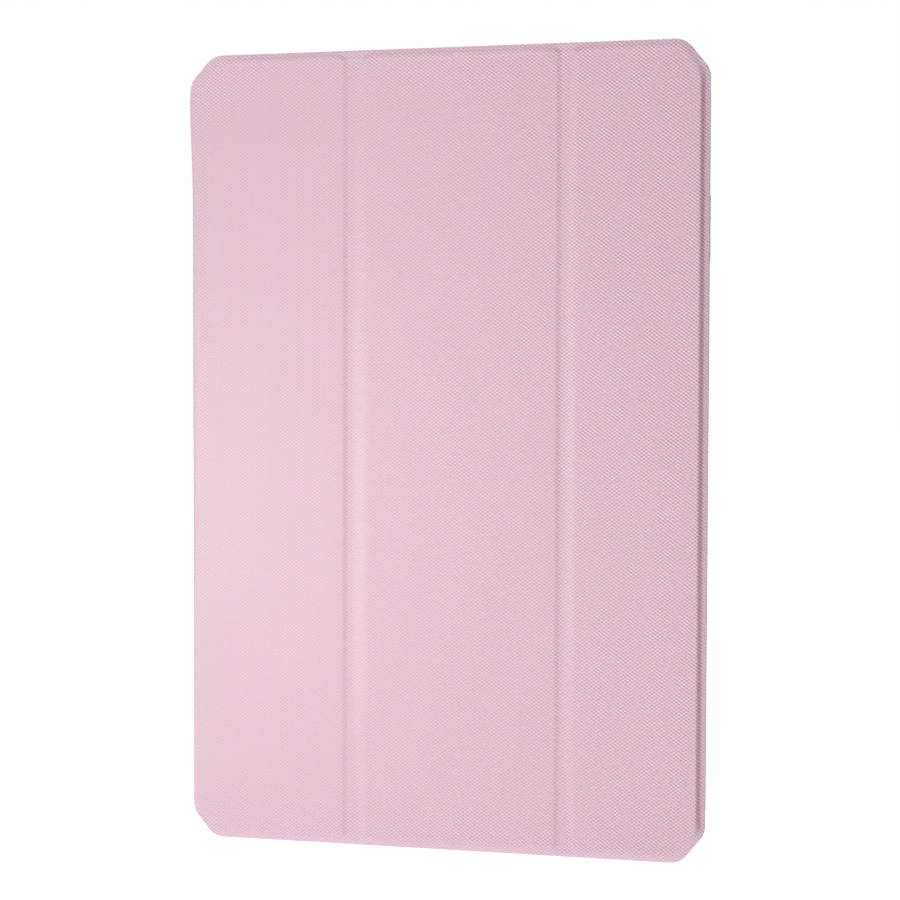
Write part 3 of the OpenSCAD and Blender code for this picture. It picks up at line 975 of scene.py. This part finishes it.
lining_3 = make_sheet("panel_3_lining_cloth", PANEL_2_CUT, FREE_U - LINING_INSET,
                      lining_path, lining_face, LINING_INSET, free_end="end")
tray = make_tray()
power_cap = make_power_button()
volume_cap = make_volume_rocker()

SKINS = [back_skin, panel_1_skin, panel_2_skin, panel_3_skin]
LININGS = [lining_1, lining_2, lining_3]
for cloth in SKINS + LININGS:
    mark_weave(cloth, BACK_OUTLINE if cloth is back_skin else COVER_OUTLINE)
for cloth in SKINS:
    mark_painted_shade_and_edge_tone(cloth)

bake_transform(back_skin)
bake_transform(panel_1_skin)
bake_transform(panel_2_skin)
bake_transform(panel_3_skin)
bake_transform(lining_1)
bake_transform(lining_2)
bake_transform(lining_3)
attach(tray, "tray")
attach(power_cap, "power_key")
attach(volume_cap, "volume_key")

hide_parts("back_skin")
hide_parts("spine_skin", "panel_1_skin")
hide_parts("panel_2_skin")
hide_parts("panel_3_skin")
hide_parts("spine_lining", "panel_1_lining")
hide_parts("panel_2_lining")
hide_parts("panel_3_lining")
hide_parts("tray_shell")
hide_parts("power_button")
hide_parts("volume_rocker")


# ---------------------------------------------------------------------------
# Materials
# ---------------------------------------------------------------------------

class Shader:
    """A node material, built up one node at a time."""

    def __init__(self, name):
        self.material = bpy.data.materials.new(name)
        self.material.use_nodes = True
        self.tree = self.material.node_tree
        self.tree.nodes.clear()
        self.out = self.add("ShaderNodeOutputMaterial")
        self.surface = self.add("ShaderNodeBsdfPrincipled")
        self.link(self.surface.outputs["BSDF"], self.out.inputs["Surface"])

    def add(self, kind, **settings):
        node = self.tree.nodes.new(kind)
        for key, value in settings.items():
            setattr(node, key, value)
        return node

    def link(self, source, target):
        self.tree.links.new(source, target)

    def put(self, value, target):
        """Sets an input to a number or colour, or links it to another node's output."""
        if isinstance(value, bpy.types.NodeSocket):
            self.link(value, target)
        else:
            target.default_value = value

    def finish(self, colour, rough, normal=None, others=()):
        """Sets the surface's inputs, the others as (name, value), and returns the material."""
        named = [("Base Color", colour), ("Roughness", rough), ("Normal", normal), *others]
        for name, value in named:
            if value is not None:
                self.put(value, self.surface.inputs[name])
        return self.material

    def maths(self, operation, *values, clamp=False):
        node = self.add("ShaderNodeMath", operation=operation, use_clamp=clamp)
        for k, value in enumerate(values):
            self.put(value, node.inputs[k])
        return node.outputs[0]

    def scaled(self, value, low_end, high_end, from_low=0.0, from_high=1.0):
        """Maps a value from one range to another."""
        node = self.add("ShaderNodeMapRange")
        self.put(value, node.inputs["Value"])
        ends = {"From Min": from_low, "From Max": from_high, "To Min": low_end, "To Max": high_end}
        for name, number in ends.items():
            node.inputs[name].default_value = number
        return node.outputs["Result"]

    def noise(self, vector, size, detail=2.0):
        """Noise whose blotches are about size across, between 0 and 1."""
        node = self.add("ShaderNodeTexNoise")
        self.link(vector, node.inputs["Vector"])
        node.inputs["Scale"].default_value = 1 / size
        node.inputs["Detail"].default_value = detail
        return node.outputs["Fac"]

    def mix(self, share, first, second):
        node = self.add("ShaderNodeMix", data_type="RGBA")
        self.put(share, node.inputs[0])
        self.put(first, node.inputs[6])
        self.put(second, node.inputs[7])
        return node.outputs[2]

    def bump(self, height, distance, strength=1.0, normal=None):
        node = self.add("ShaderNodeBump")
        self.link(height, node.inputs["Height"])
        node.inputs["Distance"].default_value = distance
        node.inputs["Strength"].default_value = strength
        if normal is not None:
            self.link(normal, node.inputs["Normal"])
        return node.outputs["Normal"]


WEAVE_U = 1.575 * MM
WEAVE_Z = 1.165 * MM
WEAVE_HEIGHT = 0.46 * MM


def kept_numbers(shader, name):
    """The three numbers that a mesh keeps for each point, as node outputs."""
    attribute = shader.add("ShaderNodeAttribute", attribute_name=name)
    parts = shader.add("ShaderNodeSeparateXYZ")
    shader.link(attribute.outputs["Vector"], parts.inputs[0])
    return parts


def cloth_place(shader):
    """(place in the cloth, its u, its z, distance from the edge) as node outputs."""
    parts = kept_numbers(shader, "weave_at")
    flat = shader.add("ShaderNodeCombineXYZ")
    shader.link(parts.outputs["X"], flat.inputs["X"])
    shader.link(parts.outputs["Y"], flat.inputs["Y"])
    return flat.outputs[0], parts.outputs["X"], parts.outputs["Y"], parts.outputs["Z"]


def skin_material():
    """Coated pink canvas: threads over and under each other, flatter along the edges, with a darker,
    redder strip along the free edge, painted shade in the creases, and painted shading in a weave contrast
    that grows towards the free edge.
    """
    s = Shader("woven_pink_skin")
    place_at, u, z, edge = cloth_place(s)
    drift = s.scaled(s.noise(place_at, 9 * MM), -0.9, 0.9)
    warp = s.maths("COSINE", s.maths("MULTIPLY_ADD", u, 2 * math.pi / WEAVE_U, drift))
    weft = s.maths("COSINE", s.maths("MULTIPLY_ADD", z, 2 * math.pi / WEAVE_Z, drift))
    over = s.maths("MULTIPLY", warp, weft)
    fibres = s.noise(place_at, 0.16 * MM, 3.0)
    patches = s.noise(place_at, 4.5 * MM)
    # painted shading: the weave's colour contrast grows towards the free edge, standing in for light that
    # grazes more there; the bump depth grows with it
    relief_and_painted_contrast = s.scaled(u, 0.46, 0.80, unroll(SPINE_X + 10 * MM), FREE_U)
    contrast = s.maths("MULTIPLY", s.scaled(patches, 0.40, 0.80), relief_and_painted_contrast)
    tone = s.maths("MULTIPLY_ADD", over, contrast, 0.5)
    tone = s.maths("ADD", tone, s.scaled(fibres, -0.16, 0.16), clamp=True)
    thread = s.mix(tone, SKIN_DARK, SKIN_LIGHT)
    shade_and_edge_tone_masks = kept_numbers(s, "painted_shade_and_edge_tone")
    # the strip along the free edge is coloured darker and redder
    thread = s.mix(s.maths("MULTIPLY", shade_and_edge_tone_masks.outputs["Y"], 0.55), thread, SKIN_FREE_EDGE_TONE)
    # painted crease shade mixed into the colour where the skin slopes steeply down
    thread = s.mix(s.maths("MULTIPLY", shade_and_edge_tone_masks.outputs["X"], 0.75), thread, SKIN_PAINTED_CREASE_SHADE)
    broad = s.scaled(s.noise(place_at, 45 * MM), 0.0, 0.16)
    colour = s.mix(broad, thread, SKIN_SHADE)
    rough = s.maths("ADD", s.scaled(patches, 0.44, 0.56), s.scaled(over, -0.03, 0.05, -1.0, 1.0))
    relief = s.maths("MULTIPLY", s.scaled(edge, 0.35, 0.5, 1.0 * MM, 2.6 * MM), relief_and_painted_contrast)
    height = s.maths("MULTIPLY_ADD", over, relief, s.scaled(fibres, 0.0, 0.2))
    coat = (("Specular IOR Level", 0.05), ("Coat Weight", 0.9), ("Coat Roughness", 0.42))
    return s.finish(colour, rough, s.bump(height, WEAVE_HEIGHT, 0.75), coat)


def lining_material():
    """Soft brushed microfibre."""
    s = Shader("microfibre_lining")
    place_at = cloth_place(s)[0]
    nap = s.noise(place_at, 0.35 * MM, 4.0)
    strokes = s.noise(place_at, 12 * MM, 3.0)
    tone = s.maths("MULTIPLY_ADD", nap, 0.5, s.scaled(strokes, 0.0, 0.5))
    colour = s.mix(tone, LINING_DARK, LINING_LIGHT)
    rough = s.scaled(strokes, 0.78, 0.94)
    sheen = (("Specular IOR Level", 0.15), ("Sheen Weight", 0.35), ("Sheen Roughness", 0.4))
    return s.finish(colour, rough, s.bump(nap, 0.05 * MM, 0.7), sheen)


def object_place(s):
    return s.add("ShaderNodeTexCoord").outputs["Object"]


def moulded_material(name, dark, light, rough, grain, depth, specular=0.4):
    """Moulded plastic or rubber with a fine spark-eroded grain."""
    s = Shader(name)
    at = object_place(s)
    fine = s.noise(at, grain, 3.0)
    broad = s.noise(at, 30 * MM)
    colour = s.mix(s.maths("MULTIPLY_ADD", fine, 0.45, s.scaled(broad, 0.0, 0.55)), dark, light)
    roughness = s.scaled(fine, rough - 0.05, rough + 0.06)
    return s.finish(colour, roughness, s.bump(fine, depth, 0.5), [("Specular IOR Level", specular)])


def metal_material(name, colour, rough, stretch):
    """Bare metal with fine marks, drawn out along Z by stretch."""
    s = Shader(name)
    scale = s.add("ShaderNodeMapping")
    s.link(object_place(s), scale.inputs["Vector"])
    scale.inputs["Scale"].default_value = (1, 1, 1 / stretch)
    marks = s.noise(scale.outputs[0], 0.25 * MM, 4.0)
    dull = tuple(c * 0.82 for c in colour[:3]) + (1.0,)
    tone = s.mix(marks, dull, colour)
    roughness = s.scaled(marks, rough - 0.08, rough + 0.12)
    return s.finish(tone, roughness, s.bump(marks, 0.01 * MM, 0.4), [("Metallic", 1.0)])


def board_material():
    """Pressed grey fibreboard with short fibres."""
    s = Shader("grey_fibreboard")
    at = object_place(s)
    flecks = s.noise(at, 0.9 * MM, 5.0)
    colour = s.mix(s.scaled(flecks, 0.0, 1.0, 0.3, 0.7), BOARD_DARK, BOARD_LIGHT)
    return s.finish(colour, s.scaled(flecks, 0.8, 0.95), s.bump(flecks, 0.06 * MM, 0.6))


BOARD_DARK = (0.27, 0.25, 0.23, 1)
BOARD_LIGHT = (0.42, 0.40, 0.37, 1)
SKIN_DARK = (0.532, 0.348, 0.434, 1)
SKIN_LIGHT = (0.784, 0.550, 0.652, 1)
# darker, redder colour of the strip along the free edge
SKIN_FREE_EDGE_TONE = (0.54, 0.335, 0.405, 1)
SKIN_SHADE = (0.62, 0.410, 0.500, 1)
# colour of the painted shade on the steep slopes of folds and rims
SKIN_PAINTED_CREASE_SHADE = (0.34, 0.190, 0.255, 1)
LINING_DARK = (0.46, 0.33, 0.385, 1)
LINING_LIGHT = (0.62, 0.47, 0.53, 1)


def paint(obj, material):
    obj.data.materials.clear()
    obj.data.materials.append(material)


skin_look = skin_material()
lining_look = lining_material()
tray_look = moulded_material(
    "soft_pink_tray", (0.60, 0.42, 0.50, 1), (0.72, 0.53, 0.61, 1), 0.58, 0.3 * MM, 0.02 * MM)
button_look = moulded_material(
    "satin_pink_button", (0.56, 0.38, 0.46, 1), (0.63, 0.45, 0.53, 1), 0.36, 0.2 * MM, 0.008 * MM, 0.5)
board_look = board_material()
steel_look = metal_material("brushed_steel", (0.56, 0.57, 0.58, 1), 0.32, 14)
magnet_look = metal_material("nickel_plate", (0.66, 0.65, 0.62, 1), 0.2, 1)

for cloth in SKINS:
    paint(cloth, skin_look)
for cloth in LININGS:
    paint(cloth, lining_look)
paint(tray, tray_look)
for cap in (power_cap, volume_cap):
    paint(cap, button_look)
CAD_LOOKS = {
    board_look: ["back_board", "spine_board", "panel_1_board", "panel_2_board", "panel_3_board"],
    steel_look: ["keeper_plates", "stand_plate"],
    magnet_look: ["closure_magnets", "wake_magnet"],
}
for look, nodes in CAD_LOOKS.items():
    for node in nodes:
        for material_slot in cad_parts[node].material_slots:
            material_slot.material = look


# ---------------------------------------------------------------------------
# Floor, light and camera
# ---------------------------------------------------------------------------

FLOOR_SIZE = 12.0


def make_floor():
    half = FLOOR_SIZE / 2
    mesh = bpy.data.meshes.new("floor")
    corners = [(-half, -half, 0), (half, -half, 0), (half, half, 0), (-half, half, 0)]
    mesh.from_pydata(corners, [], [(0, 1, 2, 3)])
    floor = add_object("floor", mesh)
    s = Shader("pale_floor")
    glow = (("Specular IOR Level", 0.0), ("Emission Color", (1, 1, 1, 1)),
            ("Emission Strength", FLOOR_GLOW))
    floor.data.materials.append(s.finish((0.3, 0.3, 0.3, 1), 0.9, None, glow))


def make_world():
    """An even white surround that gives a weaker, even light."""
    world = bpy.data.worlds.new("studio")
    bpy.context.scene.world = world
    world.use_nodes = True
    tree = world.node_tree
    tree.nodes.clear()
    out = tree.nodes.new("ShaderNodeOutputWorld")
    back = tree.nodes.new("ShaderNodeBackground")
    rays = tree.nodes.new("ShaderNodeLightPath")
    level = tree.nodes.new("ShaderNodeMapRange")
    tree.links.new(rays.outputs["Is Camera Ray"], level.inputs["Value"])
    level.inputs["To Min"].default_value = SURROUND_LIGHT
    level.inputs["To Max"].default_value = 1.0
    tree.links.new(level.outputs["Result"], back.inputs["Strength"])
    tree.links.new(back.outputs[0], out.inputs["Surface"])
    back.inputs["Color"].default_value = (1, 1, 1, 1)


def hang_lamp(name, light, position, direction):
    lamp = add_object(name, light)
    lamp.location = position
    lamp.rotation_mode = "QUATERNION"
    lamp.rotation_quaternion = direction.to_track_quat("-Z", "Y")


def add_spot(name, position, azimuth, beam, fade, radius, power):
    """A soft level lamp turned by an azimuth from +Y towards +X, with a beam that fades at its side."""
    light = bpy.data.lights.new(name, "SPOT")
    light.energy = power
    light.shadow_soft_size = radius
    light.spot_size = math.radians(beam)
    light.spot_blend = fade
    turn = math.radians(azimuth)
    hang_lamp(name, light, position, Vector((math.sin(turn), math.cos(turn), 0)))


def add_softbox(name, position, target, size, power):
    """A rectangular lamp that faces a target."""
    light = bpy.data.lights.new(name, "AREA")
    light.shape = "RECTANGLE"
    light.size, light.size_y = size
    light.energy = power
    hang_lamp(name, light, position, Vector(target) - Vector(position))


FLOOR_GLOW = 1.2
SURROUND_LIGHT = 0.25
KEY_PLACE = (-0.35, -0.50, 0.08)
KEY_AZIMUTH = 100
KEY_BEAM = 178
KEY_FADE = 0.40
KEY_RADIUS = 0.10
KEY_POWER = 6.4
FRONT_PLACE = (-0.21, -0.60, 0.14)
FRONT_AIM = (-0.06, 0.0, 0.13)
FRONT_SIZE = (0.20, 0.45)
FRONT_POWER = 0.35
BACK_PLACE = (-0.12, 0.80, 0.30)
BACK_AIM = (0.0, 0.0, 0.13)
BACK_SIZE = (0.40, 0.40)
BACK_POWER = 3.5
TOP_PLACE = (0.0, 0.12, 0.85)
TOP_AIM = (0.0, 0.06, 0.26)
TOP_SIZE = (0.40, 0.20)
TOP_POWER = 3.0

CAMERA_AZIMUTH = 13.24
CAMERA_ELEVATION = 1.886
CAMERA_ROLL = 0.178
CAMERA_DISTANCE = 0.64124
CAMERA_AIM = Vector((0.00242, -0.0051, 0.13240))
CAMERA_LENS = 77.97


def make_camera():
    azimuth, elevation, roll = (math.radians(a) for a in (CAMERA_AZIMUTH, CAMERA_ELEVATION, CAMERA_ROLL))
    back = Vector((
        math.sin(azimuth) * math.cos(elevation),
        -math.cos(azimuth) * math.cos(elevation),
        math.sin(elevation),
    ))
    right = (-back).cross(Vector((0, 0, 1))).normalized()
    up = right.cross(-back)
    rolled_right = right * math.cos(roll) + up * math.sin(roll)
    rolled_up = up * math.cos(roll) - right * math.sin(roll)
    data = bpy.data.cameras.new("camera")
    data.lens = CAMERA_LENS
    data.sensor_width = 36
    data.clip_start = 0.01
    data.clip_end = 50
    camera = add_object("camera", data)
    turn = Matrix((rolled_right, rolled_up, back)).transposed().to_4x4()
    camera.matrix_world = Matrix.Translation(CAMERA_AIM + back * CAMERA_DISTANCE) @ turn
    bpy.context.scene.camera = camera


make_floor()
make_world()
add_spot("key", KEY_PLACE, KEY_AZIMUTH, KEY_BEAM, KEY_FADE, KEY_RADIUS, KEY_POWER)
add_softbox("front", FRONT_PLACE, FRONT_AIM, FRONT_SIZE, FRONT_POWER)
add_softbox("back", BACK_PLACE, BACK_AIM, BACK_SIZE, BACK_POWER)
add_softbox("top", TOP_PLACE, TOP_AIM, TOP_SIZE, TOP_POWER)
make_camera()
bpy.context.scene.view_settings.view_transform = "Standard"
